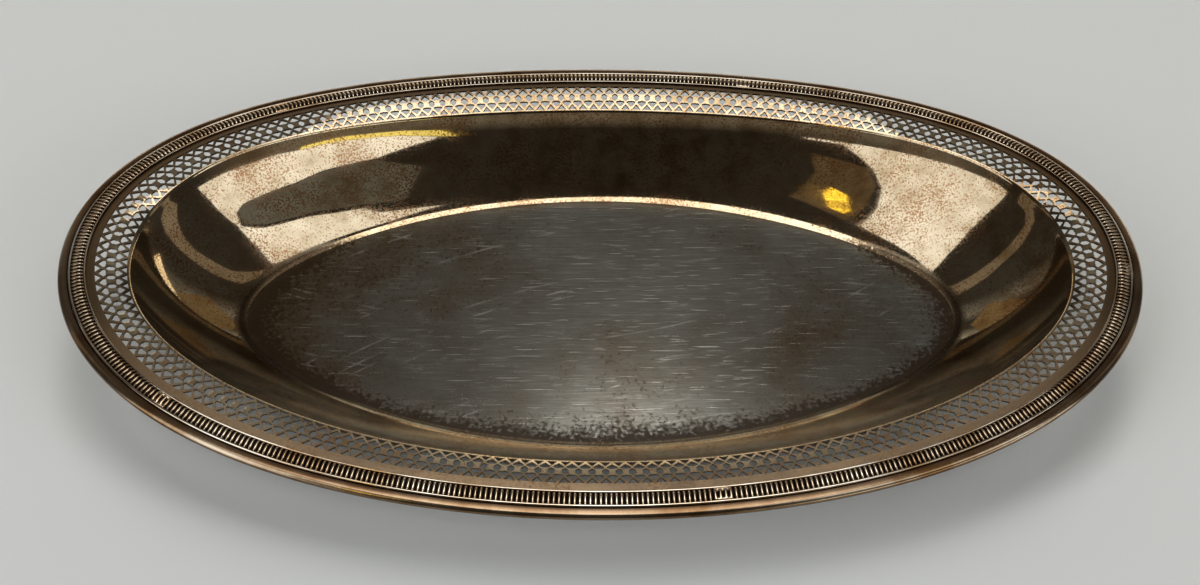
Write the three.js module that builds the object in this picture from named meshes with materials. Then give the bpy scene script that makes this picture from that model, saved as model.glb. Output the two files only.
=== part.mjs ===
import * as THREE from "three";

// Oval bread tray of silver-plated sheet metal, in millimetres, +Z up, X along its length.
// It stands on its flat floor, and the origin is at the middle of the floor's underside.
// The tray body is one pressed sheet: flat floor, coved wall, rounded shoulder, and a flange
// pierced with a trellis. A die-rolled border of reeds between two fillets, with a plain roll
// outside them, is soldered to the flange in equal lengths and hooks over its edge.

// Driving dimensions
const trayLength = 316.9;
const trayWidth = 183.7;
const rimFullness = 0.0114;
const endRise = 7;
const floorLength = 219.2;
const floorWidth = 102.3;
const floorFullness = -0.018;
const crownHeight = 23.5;
const sheet = 0.9;

// Widths of the bands of the rim, from the outer edge inwards
const rollWidth = 3.45;
const reedBandWidth = 4.3;
const plainBandWidth = 2.7;
const trellisWidth = 8.85;
const shoulderReach = 1.16;

// Fall of the flange, outwards under the border per millimetre, and inwards over the trellis
const borderFall = 0.16;
const trellisFall = 2.5;
const trellisFallPower = 1.5;

// The wall's two end slopes meet at these shares of its width and height
const coveOut = 0.675;
const coveUp = 0.31;
const floorBendReach = 1.2;
const floorBendShare = 0.05;
const shoulderBendShare = 0.93;
const wallSteps = 4;

// Piercing: one repeat holds a diamond and the two half diamonds beside it
const trellisPitch = 7.16;
const strutWidth = 0.8;

// Border
const borderPieces = 5;
const firstJoint = 0.587;
const borderSteps = 20;
const solderGap = 0.3;
const lipThickness = 0.45;
const filletWidth = 0.7;
const innerFilletHeight = 0.25;
const outerFilletHeight = 0.05;
const reedCrownHeight = 0.4;
const reedInnerHeight = 0.32;
const reedOuterHeight = 0.24;
const reedEdgeDepth = 0.1;
const coveWidth = 0.6;
const coveDepth = 0.6;
const rollCrownShare = 0.6;
const rollInnerDepth = 0.4;
const rollCrownDepth = 0.35;
const rollOuterDepth = 0.75;
const rollEdgeDepth = 1.35;
const lipDepth = 1.95;

const plated = new THREE.MeshStandardMaterial({ color: "#8c8172", roughness: 0.28, metalness: 1 });
const platedBorder = new THREE.MeshStandardMaterial({ color: "#a1927c", roughness: 0.22, metalness: 1 });

// A closed oval. A positive third harmonic makes it fuller than an ellipse and a negative one
// more pointed. The offset moves every point outwards along its normal.
class Oval extends THREE.Curve {
  constructor(length, width, fullness, offset = 0) {
    super();
    this.halfLength = length / 2 / (1 - fullness);
    this.halfWidth = width / 2 / (1 - fullness);
    this.fullness = fullness;
    this.offset = offset;
    this.arcLengthDivisions = 1000;
  }

  getPoint(t, target = new THREE.Vector3()) {
    const angle = 2 * Math.PI * t;
    const x = this.halfLength * (Math.cos(angle) - this.fullness * Math.cos(3 * angle));
    const y = this.halfWidth * (Math.sin(angle) + this.fullness * Math.sin(3 * angle));
    const dx = this.halfLength * (3 * this.fullness * Math.sin(3 * angle) - Math.sin(angle));
    const dy = this.halfWidth * (3 * this.fullness * Math.cos(3 * angle) + Math.cos(angle));
    const reach = this.offset / Math.hypot(dx, dy);
    return target.set(x + dy * reach, y - dx * reach, 0);
  }
}

// Insets of the rim's lines from the tray's outer edge
const outerFillet = rollWidth;
const innerFillet = outerFillet + reedBandWidth;
const trellisOuter = innerFillet + plainBandWidth;
const trellisInner = trellisOuter + trellisWidth;
const shoulderCorner = trellisInner + shoulderReach;
const sheetEdge = lipThickness + solderGap;

const rimOval = new Oval(trayLength, trayWidth, rimFullness);
const rimAspect = trayLength / trayWidth;
const floorAspect = floorLength / floorWidth;

// The long sides are level and the ends rise, as the square of the distance along the tray.
function rimLift(t) {
  return endRise * (rimOval.getPoint(t).x / (trayLength / 2)) ** 2;
}

// Height of the flange's upper face at the long sides
function flangeHeight(inset) {
  const crown = sheet + crownHeight;
  if (inset <= trellisOuter) {
    return crown - borderFall * (trellisOuter - inset);
  }
  const share = (Math.min(inset, trellisInner) - trellisOuter) / trellisWidth;
  const slope = (trellisFallPower * trellisFall) / trellisWidth;
  const beyond = Math.max(inset - trellisInner, 0);
  return crown - trellisFall * share ** trellisFallPower - slope * beyond;
}

function rimPoint(t, inset, height) {
  const point = new Oval(trayLength, trayWidth, rimFullness, -inset).getPoint(t);
  point.z = height + rimLift(t);
  return point;
}

function flangePoint(t, inset) {
  return rimPoint(t, inset, flangeHeight(inset));
}

// The floor's edge faces the same way as the rim does at t, so the wall runs square to both.
function floorPoint(t, offset) {
  const angle = 2 * Math.PI * t;
  const floorAngle = Math.atan2(rimAspect * Math.sin(angle), floorAspect * Math.cos(angle));
  const oval = new Oval(floorLength, floorWidth, floorFullness, offset);
  const point = oval.getPoint(floorAngle / (2 * Math.PI));
  point.z = sheet;
  return point;
}

// The wall is a quadratic curve from the floor's edge to the shoulder's corner.
function wallPoint(t, share) {
  const foot = floorPoint(t, 0);
  const top = flangePoint(t, shoulderCorner);
  const out = 2 * share * (1 - share) * coveOut + share ** 2;
  const up = 2 * share * (1 - share) * coveUp + share ** 2;
  const point = foot.clone().lerp(top, out);
  point.z = foot.z + (top.z - foot.z) * up;
  return point;
}

function bend(start, corner, end) {
  return new THREE.QuadraticBezierCurve3(start, corner, end).getPoint(0.5);
}

function floorBend(t) {
  return bend(floorPoint(t, -floorBendReach), floorPoint(t, 0), wallPoint(t, floorBendShare));
}

function shoulderBend(t) {
  const corner = flangePoint(t, shoulderCorner);
  return bend(wallPoint(t, shoulderBendShare), corner, flangePoint(t, trellisInner));
}

const wallShares = Array.from(
  { length: wallSteps + 1 },
  (_, i) => floorBendShare + ((shoulderBendShare - floorBendShare) * i) / wallSteps,
);

// Rings of the body's upper face from the floor outwards. The floor and the flange take their
// thickness straight down, and the wall and the bends take it square to the surface.
const innerRings = [
  { at: (t) => floorPoint(t, -floorBendReach), level: true },
  { at: floorBend },
  ...wallShares.map((share) => ({ at: (t) => wallPoint(t, share) })),
  { at: shoulderBend },
  { at: (t) => flangePoint(t, trellisInner), level: true },
];
const outerRings = [
  { at: (t) => flangePoint(t, trellisOuter), level: true },
  { at: (t) => flangePoint(t, outerFillet), level: true },
  { at: (t) => flangePoint(t, sheetEdge), level: true },
];

function underside(rings, index, t) {
  const ring = rings[index];
  const point = ring.at(t);
  if (ring.level) {
    point.z -= sheet;
    return point;
  }
  const step = 1e-4;
  const along = ring.at(t + step).sub(ring.at(t - step));
  const across = rings[index + 1].at(t).sub(rings[index - 1].at(t));
  const normal = across.cross(along).normalize();
  return point.addScaledVector(normal, -sheet);
}

// Vertices and triangles of one solid
class Solid {
  constructor() {
    this.positions = [];
    this.triangles = [];
  }

  vertex(point) {
    this.positions.push(point.x, point.y, point.z);
    return this.positions.length / 3 - 1;
  }

  triangle(a, b, c) {
    this.triangles.push(a, b, c);
  }

  quad(a, b, c, d) {
    this.triangle(a, b, c);
    this.triangle(a, c, d);
  }

  // A strip between two closed rings. It faces up when inner lies inside outer.
  strip(inner, outer) {
    inner.forEach((corner, i) => {
      const next = (i + 1) % inner.length;
      this.quad(corner, outer[i], outer[next], inner[next]);
    });
  }

  mesh(name, material) {
    const geometry = new THREE.BufferGeometry();
    geometry.setAttribute("position", new THREE.Float32BufferAttribute(this.positions, 3));
    geometry.setIndex(this.triangles);
    geometry.computeVertexNormals();
    const mesh = new THREE.Mesh(geometry, material);
    mesh.name = name;
    return mesh;
  }
}

// One repeat of the trellis. Across it, x runs from the inner edge (0) to the outer edge (1),
// and y counts repeats. Its outline follows the middles of the struts, and each hole is the
// space between struts, less half a strut all round.
function trellisRepeat(pitch) {
  const half = (strutWidth / 2) * Math.hypot(pitch, trellisWidth) / (pitch * trellisWidth);
  const base = strutWidth / 2 / trellisWidth;
  const middle = 1 / 2;
  const outline = [[0, 0], [middle, middle], [1, 0], [1, 1], [middle, 1 + middle], [0, 1]];
  const holes = [
    [[base, base + half], [base, 1 - base - half], [middle - half, middle]],
    [[1 - base, base + half], [middle + half, middle], [1 - base, 1 - base - half]],
    [[half, 1], [middle, 1 + middle - half], [1 - half, 1], [middle, middle + half]],
  ];
  const toPoints = (list) => list.map(([x, y]) => new THREE.Vector2(x, y));
  const outlinePoints = toPoints(outline);
  const holePoints = holes.map(toPoints);
  const triangles = THREE.ShapeUtils.triangulateShape(outlinePoints, holePoints);
  return { outline: outlinePoints, holes: holePoints, triangles };
}

function trayBody() {
  const trellisMiddle = (trellisOuter + trellisInner) / 2;
  const trellisLine = new Oval(trayLength, trayWidth, rimFullness, -trellisMiddle);
  const repeats = Math.round(trellisLine.getLength() / trellisPitch);
  const pitch = trellisLine.getLength() / repeats;
  const around = (count) => trellisLine.getUtoTmapping(((count % repeats) + repeats) % repeats / repeats);
  const counts = Array.from({ length: repeats }, (_, i) => i);
  const body = new Solid();

  const above = (rings, index, t) => rings[index].at(t);
  const addRings = (rings, face) =>
    rings.map((_, index) => counts.map((count) => body.vertex(face(rings, index, around(count)))));
  const innerTop = addRings(innerRings, above);
  const innerBottom = addRings(innerRings, underside);
  const outerTop = addRings(outerRings, above);
  const outerBottom = addRings(outerRings, underside);

  // Floor
  const floorTop = body.vertex(new THREE.Vector3(0, 0, sheet));
  const floorBottom = body.vertex(new THREE.Vector3(0, 0, 0));
  counts.forEach((count) => {
    const next = (count + 1) % repeats;
    body.triangle(floorTop, innerTop[0][count], innerTop[0][next]);
    body.triangle(floorBottom, innerBottom[0][next], innerBottom[0][count]);
  });

  // Wall, shoulder and the solid bands of the flange
  for (const [top, bottom] of [[innerTop, innerBottom], [outerTop, outerBottom]]) {
    for (let i = 0; i + 1 < top.length; i++) {
      body.strip(top[i], top[i + 1]);
      body.strip(bottom[i + 1], bottom[i]);
    }
  }
  body.strip(outerTop.at(-1), outerBottom.at(-1));

  // Pierced band
  const repeat = trellisRepeat(pitch);
  const middleTop = counts.map((count) => trellisVertex(body, around(count + 0.5), 0.5, 0));
  const middleBottom = counts.map((count) => trellisVertex(body, around(count + 0.5), 0.5, sheet));
  for (const count of counts) {
    const next = (count + 1) % repeats;
    const corners = (inner, middle, outer) =>
      [inner[count], middle[count], outer[count], outer[next], middle[next], inner[next]];
    const top = corners(innerTop.at(-1), middleTop, outerTop[0]);
    const bottom = corners(innerBottom.at(-1), middleBottom, outerBottom[0]);
    for (const hole of repeat.holes) {
      const first = top.length;
      for (const corner of hole) {
        top.push(trellisVertex(body, around(count + corner.y), corner.x, 0));
        bottom.push(trellisVertex(body, around(count + corner.y), corner.x, sheet));
      }
      const clockwise = THREE.ShapeUtils.isClockWise(hole);
      hole.forEach((_, i) => {
        const here = first + i;
        const there = first + (i + 1) % hole.length;
        const [from, to] = clockwise ? [here, there] : [there, here];
        body.quad(top[from], bottom[from], bottom[to], top[to]);
      });
    }
    for (const [a, b, c] of repeat.triangles) {
      body.triangle(top[a], top[b], top[c]);
      body.triangle(bottom[c], bottom[b], bottom[a]);
    }
  }
  return body.mesh("tray_body", plated);
}

function trellisVertex(body, t, share, depth) {
  const point = flangePoint(t, trellisInner - share * trellisWidth);
  point.z -= depth;
  return body.vertex(point);
}

// The border's section as [inset, height] pairs, clockwise from its inner toe. Heights are set
// from the flange's crown, and the underside lies a solder film above the sheet.
function borderSection() {
  const crown = sheet + crownHeight;
  const seat = (inset) => flangeHeight(inset) + solderGap;
  const innerToe = innerFillet + filletWidth / 2;
  const rollStart = outerFillet - filletWidth / 2 - coveWidth;
  const rollCrown = rollStart * rollCrownShare;
  const lipInside = lipThickness;
  return [
    [innerToe, seat(innerToe)],
    [innerToe, crown + innerFilletHeight - filletWidth / 4],
    [innerFillet, crown + innerFilletHeight],
    [innerFillet - filletWidth / 2, crown + reedEdgeDepth],
    [innerFillet - reedBandWidth / 4, crown + reedInnerHeight],
    [innerFillet - reedBandWidth / 2, crown + reedCrownHeight],
    [outerFillet + reedBandWidth / 4, crown + reedOuterHeight],
    [outerFillet + filletWidth / 2, crown - reedEdgeDepth],
    [outerFillet, crown + outerFilletHeight],
    [outerFillet - filletWidth / 2, crown - coveDepth / 2],
    [rollStart + coveWidth / 2, crown - coveDepth],
    [(rollStart + rollCrown) / 2, crown - rollInnerDepth],
    [rollCrown, crown - rollCrownDepth],
    [rollCrown / 3, crown - rollOuterDepth],
    [0, crown - rollEdgeDepth],
    [lipInside / 3, crown - lipDepth],
    [lipInside, crown - lipDepth],
    [lipInside, seat(sheetEdge)],
    [outerFillet, seat(outerFillet)],
  ];
}

function borderLength(name, start, end, reedLine) {
  const section = borderSection();
  const border = new Solid();
  const rows = [];
  for (let step = 0; step <= borderSteps; step++) {
    const share = start + ((end - start) * step) / borderSteps;
    const t = reedLine.getUtoTmapping(share - Math.floor(share));
    rows.push(section.map(([inset, height]) => border.vertex(rimPoint(t, inset, height))));
  }
  for (let step = 0; step < borderSteps; step++) {
    section.forEach((_, i) => {
      const next = (i + 1) % section.length;
      border.quad(rows[step][i], rows[step][next], rows[step + 1][next], rows[step + 1][i]);
    });
  }
  const face = section.map(([inset, height]) => new THREE.Vector2(-inset, height));
  const triangles = THREE.ShapeUtils.triangulateShape(face, []);
  const firstRow = rows[0];
  const lastRow = rows.at(-1);
  for (const [a, b, c] of triangles) {
    border.triangle(firstRow[a], firstRow[b], firstRow[c]);
    border.triangle(lastRow[a], lastRow[c], lastRow[b]);
  }
  return border.mesh(name, platedBorder);
}

function border() {
  const group = new THREE.Group();
  const reedLine = new Oval(trayLength, trayWidth, rimFullness, -(outerFillet + innerFillet) / 2);
  const halfGap = solderGap / 2 / reedLine.getLength();
  for (let i = 0; i < borderPieces; i++) {
    const start = firstJoint + i / borderPieces + halfGap;
    const end = firstJoint + (i + 1) / borderPieces - halfGap;
    group.add(borderLength(`border_length_${i + 1}`, start, end, reedLine));
  }
  return group;
}

const tray = new THREE.Group();
tray.add(trayBody());
tray.add(border());

export default tray;
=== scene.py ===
"""Oval bread tray of aged silver plate, dressed around its CAD frame. Sizes are in millimetres."""

import math

import bmesh
import bpy
import numpy as np
from mathutils import Matrix, Vector
from mathutils.geometry import tessellate_polygon


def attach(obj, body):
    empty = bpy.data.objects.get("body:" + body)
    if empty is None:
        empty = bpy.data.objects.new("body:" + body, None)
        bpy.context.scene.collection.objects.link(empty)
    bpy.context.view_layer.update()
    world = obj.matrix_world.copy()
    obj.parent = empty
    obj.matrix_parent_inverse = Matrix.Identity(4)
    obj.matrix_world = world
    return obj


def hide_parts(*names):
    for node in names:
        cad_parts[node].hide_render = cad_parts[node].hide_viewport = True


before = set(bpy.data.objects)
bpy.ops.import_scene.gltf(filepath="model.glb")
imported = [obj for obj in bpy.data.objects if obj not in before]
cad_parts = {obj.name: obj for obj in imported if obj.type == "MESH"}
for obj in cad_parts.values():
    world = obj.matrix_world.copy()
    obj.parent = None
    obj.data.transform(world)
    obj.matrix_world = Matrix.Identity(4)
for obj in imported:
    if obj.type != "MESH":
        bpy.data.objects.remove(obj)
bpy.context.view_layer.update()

MM = 0.001

# The tray's ovals: length, width and how much fuller than an ellipse
TRAY_LENGTH, TRAY_WIDTH, RIM_FULLNESS = 316.9, 183.7, 0.0114
FLOOR_LENGTH, FLOOR_WIDTH, FLOOR_FULLNESS = 219.2, 102.3, -0.018
END_RISE = 7.0
SHEET, PIERCED_SHEET = 0.9, 0.6
CROWN = SHEET + 23.5

# Insets of the rim's lines from the tray's outer edge
OUTER_FILLET = 3.45
INNER_FILLET = 7.75
TRELLIS_OUTER = 10.45
TRELLIS_INNER = 19.3
SHOULDER_CORNER = 19.95
SHEET_EDGE = 0.75

# Flange and wall
BORDER_FALL = 0.16
TRELLIS_FALL, TRELLIS_POWER, DIAGONAL_LIFT = 2.5, 1.5, 2.0
SHOULDER_START = 19.4
COVE_OUT, COVE_UP = 0.675, 0.31
FLOOR_BEND_REACH, FLOOR_BEND_SHARE = 0.9, 0.035
SHOULDER_BEND_SHARE = 0.985

# Piercing and border
TRELLIS_REPEATS = 200
BORDER_LENGTHS, REEDS_PER_LENGTH = 5, 114
FIRST_JOINT, JOINT_GAP, LENGTH_RUN = 0.587, 0.03, 155
REED_REACH, REED_HALF_WIDTH = 1.76, 0.37
GROUND_LOW, GROUND_CROWN = -0.17, 0.20
CREST_HEIGHT, CREST_AT, CREST_FALL_IN, CREST_FALL_OUT = 0.39, 0.3, 3.1, 0.84
BEDDING = 0.02

# Points of the walks round an oval, along which lengths and directions are looked up
RIM_WALK, FLOOR_WALK = 20001, 4001


def oval(angle, length, width, fullness, offset=0.0):
    """A closed oval: x is half the length times cos minus a little cos of three times the angle, y is
    half the width times sin plus as much sin of three times it. The offset goes along the normal."""
    a, b = length / 2 / (1 - fullness), width / 2 / (1 - fullness)
    x = a * (np.cos(angle) - fullness * np.cos(3 * angle))
    y = b * (np.sin(angle) + fullness * np.sin(3 * angle))
    dx = a * (3 * fullness * np.sin(3 * angle) - np.sin(angle))
    dy = b * (3 * fullness * np.cos(3 * angle) + np.cos(angle))
    reach = offset / np.hypot(dx, dy)
    return x + dy * reach, y - dx * reach


def even_angles(shares, inset):
    """Angles whose points lie at these shares of the way round the rim's oval at an inset."""
    fine = np.linspace(0, 2 * np.pi, RIM_WALK)
    x, y = oval(fine, TRAY_LENGTH, TRAY_WIDTH, RIM_FULLNESS, -inset)
    run = np.concatenate([[0], np.cumsum(np.hypot(np.diff(x), np.diff(y)))])
    return np.interp(np.mod(shares, 1), run / run[-1], fine)


def flange_height(inset, fall=TRELLIS_FALL):
    """Height at the long sides: a gentle fall outwards from the trellis, and inside its outer edge a
    fall that grows as a power of the distance and then runs on straight."""
    share = np.clip((inset - TRELLIS_OUTER) / (TRELLIS_INNER - TRELLIS_OUTER), 0, 1)
    slope = TRELLIS_POWER * fall / (TRELLIS_INNER - TRELLIS_OUTER)
    return (CROWN - BORDER_FALL * np.maximum(TRELLIS_OUTER - inset, 0)
            - fall * share ** TRELLIS_POWER - slope * np.maximum(inset - TRELLIS_INNER, 0))


def rim_point(angle, inset, height):
    """A point at an inset from the rim and a height, lifted towards the ends as the square of x."""
    x, y = oval(angle, TRAY_LENGTH, TRAY_WIDTH, RIM_FULLNESS, -inset)
    rim_x = oval(angle, TRAY_LENGTH, TRAY_WIDTH, RIM_FULLNESS)[0]
    return np.stack([x, y, height + END_RISE * (rim_x / (TRAY_LENGTH / 2)) ** 2], -1)


def flange_point(angle, inset):
    """A point of the flange. The trellis falls less towards the ends' corners: by the cubed cosine of the
    angle times its squared sine, over 0.186, the most that this product can be."""
    corner = np.abs(np.cos(angle)) ** 3 * np.sin(angle) ** 2 / 0.186
    return rim_point(angle, inset, flange_height(inset, TRELLIS_FALL - DIAGONAL_LIFT * corner))


def floor_point(angle, offset):
    """A point of the floor's edge where it faces as the rim does at this angle."""
    turned = np.arctan2(TRAY_LENGTH / TRAY_WIDTH * np.sin(angle),
                        FLOOR_LENGTH / FLOOR_WIDTH * np.cos(angle))
    x, y = oval(turned, FLOOR_LENGTH, FLOOR_WIDTH, FLOOR_FULLNESS, offset)
    return np.stack([x, y, SHEET + 0 * x], -1)


def wall_point(angle, share):
    """The coved wall: a quadratic curve from the floor's edge to the shoulder's corner."""
    foot, top = floor_point(angle, 0), flange_point(angle, SHOULDER_CORNER)
    out = 2 * share * (1 - share) * COVE_OUT + share ** 2
    up = 2 * share * (1 - share) * COVE_UP + share ** 2
    return foot + (top - foot) * np.array([out, out, up])


def bend(start, corner, end, share):
    """A quadratic curve that rounds a corner."""
    return start * (1 - share) ** 2 + corner * 2 * share * (1 - share) + end * share ** 2


def piece_from(name, points, faces, materials, attributes=()):
    """A mesh piece from points in millimetres and faces, smooth, riding on the tray."""
    mesh = bpy.data.meshes.new(name)
    mesh.from_pydata((points * MM).tolist(), [], [tuple(f) for f in faces])
    mesh.polygons.foreach_set("use_smooth", np.ones(len(mesh.polygons), bool))
    for key, values in attributes:
        mesh.attributes.new(key, "FLOAT", "POINT").data.foreach_set("value", values.astype(np.float32))
    for material in materials:
        mesh.materials.append(material)
    mesh.validate()
    mesh.update()
    piece = bpy.data.objects.new(name, mesh)
    bpy.context.scene.collection.objects.link(piece)
    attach(piece, "root")
    return piece


def ring_faces(inner, outer):
    """Quads between two closed rings of point numbers, facing up when the first lies inside."""
    return np.stack([inner, outer, np.roll(outer, -1), np.roll(inner, -1)], -1)


def trellis_cell():
    """One repeat of the piercing as an outline with three holes. The first number runs across the
    band from its inner edge (0) to its outer edge (1), the second along it in repeats. A triangle
    stands on each edge, a long oval lies between them, and half shields open on both sides, each
    with its blunt end hollowed by the round boss in the middle."""
    triangle = [(0.012, -0.41), (0.212, -0.025), (0.212, 0.025), (0.012, 0.41)]
    shield = [(0.108, -0.5), (0.262, -0.105), (0.322, -0.105), (0.360, -0.25), (0.350, -0.38),
              (0.372, -0.5)]
    lens = [(0.335, 0.0), (0.395, -0.185), (0.450, -0.285), (0.5, -0.245), (0.550, -0.285),
            (0.605, -0.185), (0.665, 0.0)]
    mirror = lambda line: [(1 - x, y) for x, y in reversed(line)]
    flip = lambda line: [(x, -y) for x, y in reversed(line)]
    side = [(0.0, -0.5)] + shield + mirror(shield) + [(1.0, -0.5)]
    outline = side + [(1.0, 0.0)] + flip(side) + [(0.0, 0.0)]
    oval_hole = lens + flip(lens)[1:-1]
    return outline, [triangle, oval_hole, mirror(triangle)]


def tray_body(material):
    """The pressed and pierced sheet. Its upper face is a set of closed rings from the floor's middle
    to the hidden edge under the border, with the trellis cell repeated round the flange. The underside
    lies one sheet below, straight down under the floor and flange, and square to the wall."""
    columns = 2 * TRELLIS_REPEATS
    middle = (TRELLIS_OUTER + TRELLIS_INNER) / 2
    angle = even_angles(np.arange(columns) / columns, middle)

    start, corner = floor_point(angle, -FLOOR_BEND_REACH), floor_point(angle, 0)
    end = wall_point(angle, FLOOR_BEND_SHARE)
    floor_rings = [start * np.array([s, s, 1]) for s in (0.25, 0.5, 0.7, 0.84, 0.93, 0.975)]
    bend_rings = [bend(start, corner, end, s) for s in np.linspace(0, 1, 7)[:-1]]
    wall_shares = np.linspace(FLOOR_BEND_SHARE, SHOULDER_BEND_SHARE, 27)[:-1]
    wall_rings = [wall_point(angle, s) for s in wall_shares]
    start, corner = wall_point(angle, SHOULDER_BEND_SHARE), flange_point(angle, SHOULDER_CORNER)
    end = flange_point(angle, SHOULDER_START)
    shoulder_rings = [bend(start, corner, end, s) for s in np.linspace(0, 1, 9)]
    shoulder_rings.append(flange_point(angle, TRELLIS_INNER))
    inner = np.stack(floor_rings + bend_rings + wall_rings + shoulder_rings)
    outer_insets = (TRELLIS_OUTER, 9.6, 8.8, INNER_FILLET, 5.6, OUTER_FILLET, 2.0, SHEET_EDGE)
    outer = np.stack([flange_point(angle, inset) for inset in outer_insets])

    across = np.gradient(inner, axis=0)
    along = np.roll(inner, -1, 1) - np.roll(inner, 1, 1)
    normal = np.cross(across, along)
    normal /= np.linalg.norm(normal, axis=2)[:, :, None]
    normal[[0, -1]] = (0, 0, 1)
    drop = np.array([0, 0, SHEET])
    thin = np.array([0, 0, PIERCED_SHEET])

    # Trellis points, shared between neighbouring cells and with the rings at both edges
    outline, holes = trellis_cell()
    lines = [outline] + holes
    flat = np.array([p for line in lines for p in line])
    triangles = np.array(tessellate_polygon([[Vector((*p, 0)) for p in line] for line in lines]))
    a, b, c = (flat[triangles[:, i]] for i in range(3))
    facing = np.cross(b - a, c - a)
    triangles = np.where((facing > 0)[:, None], triangles, triangles[:, ::-1])[np.abs(facing) > 1e-9]
    rims, first = [], 0
    for line in lines:
        number = first + np.arange(len(line))
        rims.append(np.stack([number, np.roll(number, -1)], 1))
        first += len(line)
    rims = np.concatenate(rims)
    ends = flat[rims]
    on_cut = ((np.abs(np.abs(ends[:, :, 1]) - 0.5) < 1e-9).all(1) | (ends[:, :, 0] == 0).all(1)
              | (ends[:, :, 0] == 1).all(1))
    rims = rims[~on_cut]

    repeat = np.arange(TRELLIS_REPEATS)[:, None]
    share = np.mod((repeat + 0.5 + flat[:, 1]) / TRELLIS_REPEATS, 1)
    inset = TRELLIS_INNER - flat[:, 0] * (TRELLIS_INNER - TRELLIS_OUTER) + 0 * share
    cells = flange_point(even_angles(share, middle), inset)

    inner_under, outer_under = inner - SHEET * normal, outer - drop
    inner_under[-1], outer_under[0] = inner[-1] - thin, outer[0] - thin
    layers = [inner, outer, inner_under, outer_under]
    starts = np.cumsum([2] + [layer[..., 0].size for layer in layers])
    numbers = [s + np.arange(layer[..., 0].size).reshape(layer.shape[:2]) for s, layer in zip(starts, layers)]
    inner_top, outer_top, inner_low, outer_low = numbers
    cell_top = starts[-1] + np.arange(share.size).reshape(share.shape)
    cell_low = cell_top + share.size
    points = np.concatenate([[[0, 0, SHEET], [0, 0, 0]]] + [layer.reshape(-1, 3) for layer in layers]
                            + [cells.reshape(-1, 3), (cells - thin).reshape(-1, 3)])

    faces = []
    for top, low in ((inner_top, inner_low), (outer_top, outer_low)):
        faces += [f for i in range(len(top) - 1) for f in ring_faces(top[i], top[i + 1]).tolist()]
        faces += [f[::-1] for i in range(len(low) - 1) for f in ring_faces(low[i], low[i + 1]).tolist()]
    faces += ring_faces(outer_top[-1], outer_low[-1]).tolist()
    faces += [(0, i, j) for i, j in zip(inner_top[0], np.roll(inner_top[0], -1))]
    faces += [(1, j, i) for i, j in zip(inner_low[0], np.roll(inner_low[0], -1))]
    faces += cell_top[:, triangles].reshape(-1, 3).tolist()
    faces += cell_low[:, triangles[:, ::-1]].reshape(-1, 3).tolist()
    before, after = rims[:, 0], rims[:, 1]
    cut_edges = [cell_top[:, before], cell_low[:, before], cell_low[:, after], cell_top[:, after]]
    faces += np.stack(cut_edges, -1).reshape(-1, 4).tolist()

    well = np.full(inner[..., 0].shape, 2 * TRELLIS_INNER)
    well[-1] = TRELLIS_INNER
    band = np.repeat(outer_insets, columns)
    from_edge = np.concatenate([well[0, :2], well.ravel(), band, well.ravel(), band, inset.ravel(), inset.ravel()])
    under = np.zeros(len(points))
    under[1] = 1
    under[inner_low.ravel()] = under[outer_low.ravel()] = under[cell_low.ravel()] = 1
    piece = piece_from("pierced_tray", points, faces, [material],
                       [("from_floor", floor_distance(points)), ("from_edge", from_edge), ("underside", under)])
    finish_shell(piece, crease=math.radians(40))
    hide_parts("tray_body")


def finish_shell(piece, crease=math.pi):
    """Merges the points that rings and cells share, turns every face outwards and leaves edges that
    turn by more than the crease unsmoothed."""
    work = bmesh.new()
    work.from_mesh(piece.data)
    bmesh.ops.remove_doubles(work, verts=work.verts, dist=2e-6)
    bmesh.ops.recalc_face_normals(work, faces=work.faces)
    for edge in work.edges:
        edge.smooth = edge.calc_face_angle(0.0) < crease
    for end in (f for f in work.faces if len(f.verts) > 4):
        end.smooth = False
        for edge in end.edges:
            edge.smooth = False
    work.to_mesh(piece.data)
    work.free()
    piece.data.update()


def floor_distance(points):
    """Millimetres outwards from the floor's edge at each point, below zero on the floor. It is how far
    the point's distance from the middle exceeds that of the floor's edge in its own direction."""
    fine = np.linspace(0, 2 * np.pi, FLOOR_WALK)
    edge_x, edge_y = oval(fine, FLOOR_LENGTH, FLOOR_WIDTH, FLOOR_FULLNESS)
    order = np.unwrap(np.arctan2(edge_y, edge_x))
    turn = np.mod(np.arctan2(points[:, 1], points[:, 0]), 2 * np.pi)
    return np.hypot(points[:, 0], points[:, 1]) - np.interp(turn, order, np.hypot(edge_x, edge_y))


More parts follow.
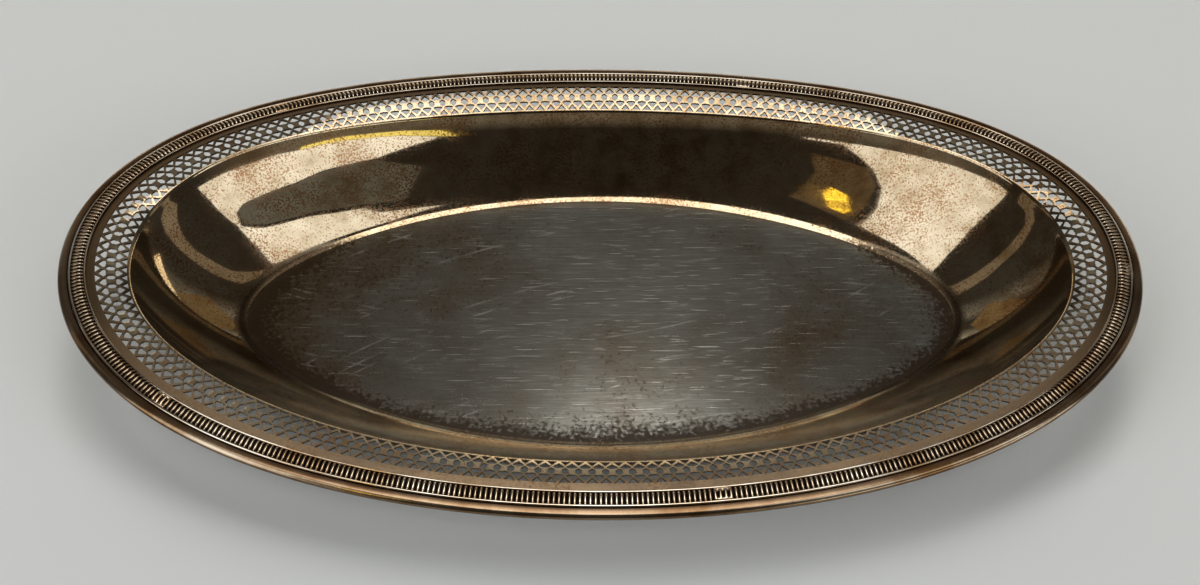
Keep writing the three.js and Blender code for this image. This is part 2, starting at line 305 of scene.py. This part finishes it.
def border_section():
    """The border's section from its inner toe outwards over fillet, reeds, fillet, cove and a roll that
    falls outwards as a quarter ellipse, and back under it. Each row is inset, height over the crown,
    how black its tarnish is, and how far across the reeds it lies. Both fillets fall away gently
    outwards, so that they catch the light."""
    rows = [(8.11, None, 0.6, None), (8.08, 0.0, 0.5, None), (7.98, 0.19, 0.1, None), (7.86, 0.25, 0.0, None),
            (7.56, 0.17, 0.0, None), (7.44, 0.02, 0.5, None)]
    middle = (INNER_FILLET + OUTER_FILLET) / 2
    rows += [(middle - across * REED_REACH, None, None, across) for across in np.linspace(-0.98, 0.98, 11)]
    rows += [(3.78, -0.1, 0.6, None), (3.68, 0.0, 0.0, None), (3.56, 0.05, 0.0, None), (3.24, -0.04, 0.0, None),
             (3.12, -0.2, 0.4, None), (3.04, -0.46, 0.95, None), (2.94, -0.53, 0.8, None), (2.88, -0.44, 0.7, None),
             (2.82, -0.37, 0.6, None), (2.77, -0.345, 0.5, None), (2.68, -0.34, 0.45, None),
             (2.4, -0.34, 0.42, None), (2.1, -0.342, 0.36, None)]
    roll_inset, roll_reach, roll_foot, roll_rise = 1.9, 1.84, -1.4, 1.05
    for turn in np.radians(np.linspace(0, 90, 9)):
        worn = 0.12 + 0.2 * abs(math.cos(2 * turn))
        rows.append((roll_inset - roll_reach * math.sin(turn), roll_foot + roll_rise * math.cos(turn), worn, None))
    rows += [(0.08, -1.65, 0.3, None), (0.2, -1.93, 0.5, None), (0.45, -1.93, 0.5, None), (0.45, None, 0.5, None),
             (OUTER_FILLET, None, 0.5, None)]
    return rows


def reed_height(across, phase):
    """Height of the reeds over the crown: a long rounded grain with pointed ends, whose half width
    shrinks as the fifth power of the way across. Its crest is highest a third of the way outwards and
    falls as the square of the distance from there. It stands on a ground that is crowned as well."""
    width = REED_HALF_WIDTH * (1 - np.abs(across) ** 5)
    dome = np.sqrt(np.clip(1 - (phase / np.maximum(width, 1e-3)) ** 2, 0, 1))
    ground = GROUND_LOW + GROUND_CROWN * (1 - across ** 2)
    share = (across + 1) / 2
    crest = (CREST_HEIGHT - CREST_FALL_OUT * np.maximum(share - CREST_AT, 0) ** 2
             - CREST_FALL_IN * np.maximum(CREST_AT - share, 0) ** 2)
    return ground + (crest - ground) * dome, dome


def border_length(number, material):
    """One soldered length of the rolled border: the section carried along the reeds' middle line. At both
    ends solder fills the grooves of the last two reeds towards the fillets."""
    section = border_section()
    phases = np.array([-0.5, -0.41, -0.36, -0.24, 0.0, 0.24, 0.36, 0.41])
    along = np.concatenate([(np.arange(REEDS_PER_LENGTH)[:, None] + 0.5 + phases).ravel(), [REEDS_PER_LENGTH]])
    phase = np.concatenate([np.tile(phases, REEDS_PER_LENGTH), [0.5]])
    gap = JOINT_GAP / LENGTH_RUN
    share = along / REEDS_PER_LENGTH * (1 - 2 * gap) + gap
    angle = even_angles(FIRST_JOINT + (number - 1 + share) / BORDER_LENGTHS, (OUTER_FILLET + INNER_FILLET) / 2)
    from_joint = np.minimum(along, REEDS_PER_LENGTH - along)

    heights, insets, dark = [], [], []
    for inset, height, black, across in section:
        insets.append(inset)
        if across is not None:
            reed, dome = reed_height(across, phase)
            solder = np.clip(2.0 - from_joint, 0, 1) * np.clip(np.abs(across) * 2.2 - 0.7, 0, 1)
            level = np.maximum(reed, reed * (1 - solder) + solder * (0.14 - 0.1 * across))
            heights.append(CROWN + level)
            dark.append(np.clip(1 - dome - solder, 0, 1))
        else:
            level = CROWN + height if height is not None else flange_height(inset) + BEDDING
            heights.append(np.full(len(along), level))
            dark.append(np.full(len(along), black))
    points = np.stack([rim_point(angle, inset, height) for inset, height in zip(insets, heights)], 1)
    rows, columns = points.shape[0], points.shape[1]
    number_of = np.arange(rows * columns).reshape(rows, columns)
    a, b = number_of[:-1], number_of[1:]
    sides = np.stack([a, np.roll(a, -1, 1), np.roll(b, -1, 1), b], -1).reshape(-1, 4)
    faces = sides.tolist() + [number_of[0][::-1].tolist(), number_of[-1].tolist()]
    piece = piece_from(f"reeded_border_{number}", points.reshape(-1, 3), faces, [material],
                       [("groove", np.stack(dark, 1).ravel())])
    finish_shell(piece)
    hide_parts(f"border_length_{number}")


def linear(text):
    """Linear colour of an sRGB hex value."""
    parts = [int(text[i:i + 2], 16) / 255 for i in (1, 3, 5)]
    return [p / 12.92 if p <= 0.04045 else ((p + 0.055) / 1.055) ** 2.4 for p in parts] + [1.0]


def add(tree, kind, settings=None, links=None):
    """Adds a node, sets its properties, sockets or colour stops by name, and links its inputs. A link
    comes from a node's first output in use, or from a node and the name of its output."""
    node = tree.nodes.new(kind)
    for key, value in (settings or {}).items():
        if key == "stops":
            elements = node.color_ramp.elements
            elements.remove(elements[1])
            for number, (position, colour) in enumerate(value):
                element = elements.new(position) if number else elements[0]
                element.position = position
                element.color = linear(colour) if isinstance(colour, str) else (colour, colour, colour, 1)
        elif isinstance(key, int) or key in node.inputs:
            node.inputs[key].default_value = value
        else:
            setattr(node, key, value)
    for key, source in (links or {}).items():
        if isinstance(source, tuple):
            output = source[0].outputs[source[1]]
        else:
            output = next(o for o in source.outputs if o.enabled)
        tree.links.new(output, node.inputs[key])
    return node


def new_material(name):
    """An empty node material."""
    material = bpy.data.materials.new(name)
    material.use_nodes = True
    material.node_tree.nodes.clear()
    return material, material.node_tree


def aged_sheet():
    """Silver plate on pressed brass, long unpolished: a warm grey mirror with brown tarnish in clouds
    and fine brown pits where the plate is thin. The floor is rubbed to a brushed satin by use,
    scratched, and stained dark round its edge, where dirt collects. Grime dulls the flange beside the
    border. The cut edges of the piercing and the underside are dark brown: partly tarnish, never
    polished, and partly painted shade under the tray."""
    material, tree = new_material("aged_silver_plate_sheet")
    place = (add(tree, "ShaderNodeTexCoord"), "Object")
    reach = (add(tree, "ShaderNodeAttribute", {"attribute_name": "from_floor"}), "Fac")
    edge = (add(tree, "ShaderNodeAttribute", {"attribute_name": "from_edge"}), "Fac")
    below = (add(tree, "ShaderNodeAttribute", {"attribute_name": "underside"}), "Fac")
    on_floor = add(tree, "ShaderNodeMapRange", {"From Min": -1.0, "From Max": -2.6}, {"Value": reach})

    # Clouds of tarnish about 40 mm across, broken up by mottling of 5 mm
    clouds = add(tree, "ShaderNodeTexNoise", {"Scale": 24.0, "Detail": 6.0, "Roughness": 0.62}, {"Vector": place})
    mottle = add(tree, "ShaderNodeTexNoise", {"Scale": 190.0, "Detail": 4.0}, {"Vector": place})
    mixed = add(tree, "ShaderNodeMath", {"operation": "MULTIPLY_ADD", 1: 0.35}, {0: mottle, 2: clouds})
    cloudy = add(tree, "ShaderNodeValToRGB", {"stops": [
        (0.54, "#ab9f88"), (0.68, "#9c8f77"), (0.84, "#7b6a50")]}, {"Fac": mixed})

    # Pits of about 0.3 mm, drawn at 0.6 mm so that they show, denser in patches of 15 mm
    pits = add(tree, "ShaderNodeTexNoise", {"Scale": 1700.0, "Detail": 2.0, "Roughness": 0.6}, {"Vector": place})
    patches = add(tree, "ShaderNodeTexNoise", {"Scale": 65.0, "Detail": 3.0}, {"Vector": place})
    pitted = add(tree, "ShaderNodeMath", {"operation": "MULTIPLY_ADD", 1: 0.45}, {0: patches, 2: pits})
    pit_mask = add(tree, "ShaderNodeValToRGB", {"stops": [(0.73, 0.0), (0.86, 0.9)]}, {"Fac": pitted})
    spotted = add(tree, "ShaderNodeMix", {"data_type": "RGBA", "B": linear("#765233")},
                  {"Factor": pit_mask, "A": cloudy})

    # The floor: two layers of faint brush marks, 0.6 mm wide and 20 mm long, that cross at a low angle
    streaks = None
    for turn, length in ((0.03, 50.0), (-0.10, 60.0)):
        brushed = add(tree, "ShaderNodeMapping", {"Rotation": (0, 0, turn), "Scale": (1, 30, 1)}, {"Vector": place})
        layer = add(tree, "ShaderNodeTexNoise", {"Scale": length, "Detail": 5.0, "Roughness": 0.75},
                    {"Vector": brushed})
        streaks = add(tree, "ShaderNodeMix", links={"A": layer, "B": streaks}) if streaks else layer
    rubbed = add(tree, "ShaderNodeValToRGB", {"stops": [
        (0.40, "#6f6e68"), (0.50, "#7b7a74"), (0.60, "#8d8c86")]}, {"Fac": streaks})
    axes = add(tree, "ShaderNodeSeparateXYZ", links={"Vector": place})
    from_middle = add(tree, "ShaderNodeMath", {"operation": "ABSOLUTE"}, {0: (axes, "X")})
    towards_end = add(tree, "ShaderNodeMapRange", {"From Min": 0.02, "From Max": 0.11, "To Max": 0.22},
                      {"Value": from_middle})
    leftwards = add(tree, "ShaderNodeMath", {"operation": "MULTIPLY_ADD", 1: -0.7}, {0: (axes, "X"), 2: clouds})
    brown = add(tree, "ShaderNodeMath", {"operation": "ADD"}, {0: leftwards, 1: towards_end})
    brown_share = add(tree, "ShaderNodeMapRange", {"From Min": 0.46, "From Max": 0.80, "To Max": 0.85},
                      {"Value": brown})
    browned = add(tree, "ShaderNodeMix", {"data_type": "RGBA", "B": linear("#5c4a34")},
                  {"Factor": brown_share, "A": rubbed})
    surface = add(tree, "ShaderNodeMix", {"data_type": "RGBA"}, {"Factor": on_floor, "A": spotted, "B": browned})

    # Scratches of 0.1 mm, drawn at 0.3 mm so that they show: the peaks of a drawn-out noise, and long
    # faint arcs round far middles, where the same patches break them off
    lines = None
    for turn, length, peak in ((4, 55.0, 0.82), (-14, 75.0, 0.775), (20, 85.0, 0.775), (-50, 100.0, 0.80)):
        laid = add(tree, "ShaderNodeMapping", {"Rotation": (0, 0, math.radians(turn)), "Scale": (1, 48, 1)},
                   {"Vector": place})
        noise = add(tree, "ShaderNodeTexNoise", {"Scale": length, "Detail": 0.0}, {"Vector": laid})
        line = add(tree, "ShaderNodeMapRange", {"From Min": peak, "From Max": peak + 0.04}, {"Value": noise})
        lines = add(tree, "ShaderNodeMath", {"operation": "MAXIMUM"}, {0: line, 1: lines}) if lines else line
    rubbing = add(tree, "ShaderNodeMapRange", {"From Min": 0.54, "From Max": 0.66, "To Max": 0.5},
                  {"Value": patches})
    for middle in ((0.06, -0.22, 0.0), (-0.03, 0.17, 0.0)):
        away = (add(tree, "ShaderNodeVectorMath", {"operation": "DISTANCE", 1: middle}, {0: place}), "Value")
        noise = add(tree, "ShaderNodeTexNoise", {"noise_dimensions": "1D", "Scale": 700.0, "Detail": 0.0},
                    {"W": away})
        line = add(tree, "ShaderNodeMapRange", {"From Min": 0.72, "From Max": 0.80}, {"Value": noise})
        arc = add(tree, "ShaderNodeMath", {"operation": "MULTIPLY"}, {0: line, 1: rubbing})
        lines = add(tree, "ShaderNodeMath", {"operation": "MAXIMUM"}, {0: arc, 1: lines})
    depth = add(tree, "ShaderNodeMapRange", {"To Min": 0.08, "To Max": 0.6}, {"Value": on_floor})
    scratch = add(tree, "ShaderNodeMath", {"operation": "MULTIPLY"}, {0: lines, 1: depth})
    scratched = add(tree, "ShaderNodeMix", {"data_type": "RGBA", "B": linear("#e9e9e4")},
                    {"Factor": scratch, "A": surface})

    # Dark stains of 1 mm, few in the middle of the floor. They run together to dirt where the floor meets
    # the wall, in front and at both ends, where it reaches up into the bend
    near_edge = add(tree, "ShaderNodeMapRange", {"From Min": -17.0, "From Max": -1.5}, {"Value": reach})
    in_front = add(tree, "ShaderNodeMapRange", {"From Min": 0.005, "From Max": -0.02}, {"Value": (axes, "Y")})
    at_ends = add(tree, "ShaderNodeMapRange", {"From Min": 0.072, "From Max": 0.092}, {"Value": from_middle})
    unwiped = add(tree, "ShaderNodeMath", {"operation": "MAXIMUM"}, {0: in_front, 1: at_ends})
    crowded = add(tree, "ShaderNodeMath", {"operation": "POWER", 1: 2.3}, {0: near_edge})
    dirt = add(tree, "ShaderNodeMath", {"operation": "MULTIPLY"}, {0: crowded, 1: unwiped})
    blots = add(tree, "ShaderNodeTexNoise", {"Scale": 800.0, "Detail": 4.0, "Roughness": 0.65}, {"Vector": place})
    uneven = add(tree, "ShaderNodeMath", {"operation": "MULTIPLY_ADD", 1: 0.4}, {0: brown, 2: blots})
    leaning = add(tree, "ShaderNodeMath", {"operation": "MULTIPLY_ADD", 1: 0.40}, {0: dirt, 2: uneven})
    stain_mask = add(tree, "ShaderNodeValToRGB", {"stops": [(0.76, 0.0), (1.0, 0.92)]}, {"Fac": leaning})
    reach_up = add(tree, "ShaderNodeMath", {"operation": "MULTIPLY_ADD", 1: -3.0}, {0: at_ends, 2: reach})
    low_down = add(tree, "ShaderNodeMapRange", {"From Min": 0.5, "From Max": -1.5}, {"Value": reach_up})
    stain = add(tree, "ShaderNodeMath", {"operation": "MULTIPLY"}, {0: stain_mask, 1: low_down})
    stained = add(tree, "ShaderNodeMix", {"data_type": "RGBA", "B": linear("#271d13")},
                  {"Factor": stain, "A": scratched})

    # Grime on the flange beside the border, and the dark brown cut edges and underside: partly tarnish, partly
    # painted shade under the tray
    beside = add(tree, "ShaderNodeMapRange", {"From Min": 15.5, "From Max": 10.0, "To Max": 0.85}, {"Value": edge})
    grimy = add(tree, "ShaderNodeMix", {"data_type": "RGBA", "B": linear("#66523c")},
                {"Factor": beside, "A": stained})
    under = add(tree, "ShaderNodeMapRange", {"From Max": 0.2, "To Max": 0.85}, {"Value": below})
    # The underside's dark brown is partly unpolished tarnish and partly painted shade under the tray
    colour = add(tree, "ShaderNodeMix", {"data_type": "RGBA", "B": linear("#3f3529")},
                 {"Factor": under, "A": grimy})

    # Gloss: nearly a mirror on the wall behind, satin on the floor, duller where it is pitted or dirty. In
    # front and at the ends a brown film, which isn't metal, lies on it in clouds
    forward = add(tree, "ShaderNodeMapRange",
                  {"From Min": -0.02, "From Max": -0.06, "To Min": 0.035, "To Max": 0.14}, {"Value": (axes, "Y")})
    rough = add(tree, "ShaderNodeMath", {"operation": "MULTIPLY_ADD", 1: 0.12}, {0: pit_mask, 2: forward})
    rough = add(tree, "ShaderNodeMix", {"B": 0.165}, {"Factor": on_floor, "A": rough})
    for share, amount in ((stain, 0.25), (beside, 0.3), (under, 0.25)):
        rough = add(tree, "ShaderNodeMath", {"operation": "MULTIPLY_ADD", 1: amount}, {0: share, 2: rough})
    hollow = add(tree, "ShaderNodeMath", {"operation": "ADD"}, {0: stain, 1: scratch})
    bump = add(tree, "ShaderNodeBump", {"Strength": 0.12, "Distance": 0.00003, "invert": True},
               {"Height": hollow})
    front_film = add(tree, "ShaderNodeMapRange", {"From Min": -0.02, "From Max": -0.06, "To Max": 1.35},
                     {"Value": (axes, "Y")})
    end_film = add(tree, "ShaderNodeMapRange", {"From Min": 0.10, "From Max": 0.125, "To Max": 0.12},
                   {"Value": from_middle})
    filmed = add(tree, "ShaderNodeMath", {"operation": "MAXIMUM"}, {0: front_film, 1: end_film})
    cloud = add(tree, "ShaderNodeMapRange", {"From Min": 0.60, "From Max": 0.78, "To Min": 0.12, "To Max": 0.42},
                {"Value": mixed})
    film = add(tree, "ShaderNodeMath", {"operation": "MULTIPLY"}, {0: filmed, 1: cloud})
    bare = add(tree, "ShaderNodeMath", {"operation": "SUBTRACT", 0: 1.0}, {1: film})
    shader = add(tree, "ShaderNodeBsdfPrincipled",
                 links={"Base Color": colour, "Roughness": rough, "Normal": bump, "Metallic": bare})
    add(tree, "ShaderNodeOutputMaterial", links={"Surface": shader})
    return material


def aged_border():
    """The rolled border in the same plate, rubbed bright on its high lines and black with old tarnish in
    the grooves between the reeds and in the cove."""
    material, tree = new_material("aged_silver_plate_border")
    place = (add(tree, "ShaderNodeTexCoord"), "Object")
    groove = (add(tree, "ShaderNodeAttribute", {"attribute_name": "groove"}), "Fac")
    worn = add(tree, "ShaderNodeValToRGB", {"stops": [
        (0.0, "#d2ccc2"), (0.1, "#ada290"), (0.3, "#85705a"), (0.5, "#453529"), (0.8, "#120e0a")]}, {"Fac": groove})
    clouds = add(tree, "ShaderNodeTexNoise", {"Scale": 60.0, "Detail": 5.0, "Roughness": 0.6}, {"Vector": place})
    toned = add(tree, "ShaderNodeValToRGB", {"stops": [(0.40, "#ffffff"), (0.66, "#b9a184")]}, {"Fac": clouds})
    colour = add(tree, "ShaderNodeMix", {"data_type": "RGBA", "blend_type": "MULTIPLY", "Factor": 1.0},
                 {"A": worn, "B": toned})
    gloss = add(tree, "ShaderNodeMapRange", {"To Min": 0.09, "To Max": 0.45}, {"Value": groove})
    shader = add(tree, "ShaderNodeBsdfPrincipled", {"Metallic": 1.0}, {"Base Color": colour, "Roughness": gloss})
    add(tree, "ShaderNodeOutputMaterial", links={"Surface": shader})
    return material


def photo_camera():
    """The camera fitted to the photograph: it looks down by 46.8 degrees, a little turned and rolled.
    Its distances, in millimetres, are from the level of the long sides' outer fillet."""
    focal_pixels, width_pixels, sensor = 1524.54, 1200, 36
    down, roll, yaw = 0.8169, -0.0362, 0.0504
    right_shift, up_shift, distance, fillet_level = 1.462, 9.408, 454.02, CROWN - 0.09
    side = np.array([1, 0, 0])
    upward = np.array([0, math.sin(down), math.cos(down)])
    forward = np.array([0, math.cos(down), -math.sin(down)])
    right = math.cos(roll) * side - math.sin(roll) * upward
    up = math.sin(roll) * side + math.cos(roll) * upward
    place = -right_shift * right - up_shift * up - distance * forward
    turn = np.array([[math.cos(yaw), math.sin(yaw), 0], [-math.sin(yaw), math.cos(yaw), 0], [0, 0, 1]])
    right, up, forward, place = (turn @ v for v in (right, up, forward, place))
    place = place + np.array([0, 0, fillet_level])
    data = bpy.data.cameras.new("photo_camera")
    data.sensor_width = sensor
    data.lens = focal_pixels / width_pixels * sensor
    data.clip_start = 0.01
    camera = bpy.data.objects.new("photo_camera", data)
    matrix = np.eye(4)
    matrix[:3, 0], matrix[:3, 1], matrix[:3, 2], matrix[:3, 3] = right, up, -forward, place * MM
    camera.matrix_world = Matrix(matrix.tolist())
    bpy.context.scene.collection.objects.link(camera)
    bpy.context.scene.camera = camera


def table():
    """A pale sheet of paper under the tray, level with its floor's underside."""
    material, tree = new_material("pale_paper")
    shader = add(tree, "ShaderNodeBsdfPrincipled", {"Base Color": linear("#d9dddf"), "Roughness": 0.8})
    add(tree, "ShaderNodeOutputMaterial", links={"Surface": shader})
    mesh = bpy.data.meshes.new("paper_table")
    far, low = 4.0, -0.0002
    mesh.from_pydata([(-far, -far, low), (far, -far, low), (far, far, low), (-far, far, low)], [], [(0, 1, 2, 3)])
    mesh.materials.append(material)
    floor = bpy.data.objects.new("paper_table", mesh)
    bpy.context.scene.collection.objects.link(floor)


def overhead_light(name, outline, colour, strength):
    """A flat light panel far overhead. Its outline is given as x and y over height, seen from the tray,
    so that it shows in the polished wall where the photograph's room does."""
    height = 3.0
    material, tree = new_material(name)
    glow = add(tree, "ShaderNodeEmission", {"Color": linear(colour), "Strength": strength})
    add(tree, "ShaderNodeOutputMaterial", links={"Surface": glow})
    mesh = bpy.data.meshes.new(name)
    points = [(x * height, y * height, height) for x, y in outline]
    corners = tessellate_polygon([[Vector(p) for p in points]])
    mesh.from_pydata(points, [], [tuple(c) for c in corners])
    mesh.materials.append(material)
    panel = bpy.data.objects.new(name, mesh)
    panel.visible_camera = False
    bpy.context.scene.collection.objects.link(panel)


def room():
    """A dim room, grey behind the tray and pale low down in front. Overhead are the two windows that the
    bright patches in the back wall mirror, a ceiling between them that lights the reeds and the floor's
    front, a dim strip and shelf on either side, two dim screens, a small lamp and a gilt edge. A window
    low down behind draws the bright line along the front shoulder."""
    world = bpy.data.worlds.new("studio_room")
    bpy.context.scene.world = world
    world.use_nodes = True
    tree = world.node_tree
    direction = add(tree, "ShaderNodeSeparateXYZ", links={"Vector": (add(tree, "ShaderNodeTexCoord"), "Generated")})
    backwards = add(tree, "ShaderNodeMapRange", {"From Min": -0.2}, {"Value": (direction, "Y")})
    sky = add(tree, "ShaderNodeValToRGB", {"stops": [
        (0.0, "#403d38"), (0.62, "#4e4c48"), (0.77, "#a19f99"), (0.83, "#4c4a46"), (0.88, "#55524c"),
        (0.93, "#cfcbc0")]}, {"Fac": backwards})
    forwards = add(tree, "ShaderNodeMapRange", {"From Min": -0.3, "From Max": -0.7}, {"Value": (direction, "Y")})
    low = add(tree, "ShaderNodeMapRange", {"From Min": 0.40, "From Max": 0.26}, {"Value": (direction, "Z")})
    in_front = add(tree, "ShaderNodeMath", {"operation": "MULTIPLY"}, {0: forwards, 1: low})
    walls = add(tree, "ShaderNodeMix", {"data_type": "RGBA", "B": linear("#9a9184")}, {"Factor": in_front, "A": sky})
    tree.links.new(walls.outputs[2], tree.nodes["Background"].inputs["Color"])
    overhead_light("left_window", [
        (-0.39, 0.15), (-0.33, -0.01), (-0.24, -0.13), (-0.44, -0.39), (-0.64, -0.70), (-0.81, -1.08),
        (-0.93, -1.51), (-1.04, -1.99), (-0.83, -2.06), (-0.84, -2.20), (-1.10, -2.14), (-1.38, -2.14),
        (-1.74, -2.12), (-2.68, -2.06), (-3.59, -1.84), (-4.58, -1.55), (-4.71, -1.18), (-1.81, -0.47),
        (-1.10, -0.24), (-0.63, -0.01)], "#ffffff", 2.3)
    overhead_light("right_window", [
        (5.12, -1.35), (3.94, -1.88), (2.95, -2.06), (2.39, -2.23), (1.99, -2.19), (1.51, -2.31), (1.01, -2.21),
        (0.68, -1.92), (0.65, -1.76), (0.70, -1.16), (0.92, -1.04), (1.00, -0.87), (1.22, -0.75), (1.41, -0.62),
        (1.37, -0.47), (1.08, -0.28), (0.78, -0.25), (0.51, -0.29), (0.32, -0.24), (0.25, -0.15), (0.16, -0.10),
        (0.19, -0.02), (0.29, 0.0), (0.37, 0.04), (0.46, 0.10), (0.67, -0.05), (1.14, -0.28), (2.85, -0.79)],
        "#ffffff", 2.3)
    overhead_light("ceiling", [
        (-0.33, 0.12), (-0.15, 0.0), (0.0, -0.06), (0.15, 0.0), (0.28, 0.10), (0.26, 0.25), (0.20, 0.42),
        (0.14, 0.60), (0.14, 0.75), (0.08, 0.79), (0.0, 0.76), (-0.02, 0.58), (-0.12, 0.42), (-0.31, 0.25)],
        "#fffaf2", 3.9)
    overhead_light("right_strip", [
        (20.0, 0.3), (16.0, 3.0), (7.12, 1.86), (2.94, 0.92), (1.65, 0.62), (0.95, 0.48), (0.67, 0.39), (0.53, 0.24),
        (0.48, 0.14), (0.61, 0.20), (0.84, 0.28), (1.33, 0.32), (1.99, 0.41), (3.06, 0.44), (4.75, 0.30),
        (7.4, -0.3)], "#ffeace", 0.42)
    overhead_light("left_strip", [
        (-7.60, -1.15), (-10.2, 0.03), (-6.64, 0.88), (-2.84, 0.69), (-1.47, 0.52), (-0.83, 0.53), (-0.56, 0.54),
        (-0.46, 0.36), (-0.64, 0.35), (-1.09, 0.32), (-2.06, 0.33), (-4.00, 0.34), (-5.2, 0.0), (-5.0, -0.65)],
        "#ffeace", 0.42)
    overhead_light("right_shelf", [
        (1.92, 1.93), (1.19, 1.22), (0.83, 1.55), (0.75, 1.96), (1.29, 3.20), (3.63, 7.68), (6.0, 7.0)],
        "#f0cf9c", 0.38)
    overhead_light("left_shelf", [
        (-0.70, 1.85), (-1.01, 1.29), (-1.93, 2.41), (-4.51, 6.61), (-3.0, 7.0), (-1.2, 4.0)], "#f0cf9c", 0.46)
    overhead_light("grey_screen", [
        (0.25, -0.24), (0.32, -0.28), (0.51, -0.33), (0.78, -0.29), (1.08, -0.32), (1.37, -0.50), (1.38, -0.60),
        (1.20, -0.72), (0.98, -0.83), (0.90, -1.01), (0.68, -1.12), (0.40, -0.8)], "#f6f6f0", 0.28)
    overhead_light("brown_screen", [
        (-0.22, -0.15), (-0.42, -0.42), (-0.62, -0.72), (-0.79, -1.10), (-0.6, -1.35), (-0.42, -0.8), (-0.19, -0.3)],
        "#ffe0b5", 0.23)
    overhead_light("gilt_edge", [
        (2.0, -2.22), (2.14, -2.45), (1.74, -2.74), (1.14, -2.64), (0.79, -2.40), (0.57, -1.88), (0.68, -1.94),
        (1.01, -2.23), (1.51, -2.33)], "#fff08c", 2.3)
    overhead_light("small_lamp", [
        (-0.30, -0.43), (-0.37, -0.55), (-0.38, -0.47), (-0.30, -0.28), (-0.25, -0.22), (-0.24, -0.26)],
        "#ffda4e", 6.0)
    overhead_light("low_window", [(-3.0, 5.0), (9.0, 5.0), (30.0, 20.0), (-12.0, 20.0)], "#ffeccc", 2.4)


tray_body(aged_sheet())
border_plate = aged_border()
for number in range(1, BORDER_LENGTHS + 1):
    border_length(number, border_plate)
photo_camera()
table()
room()
bpy.context.scene.view_settings.view_transform = "Standard"
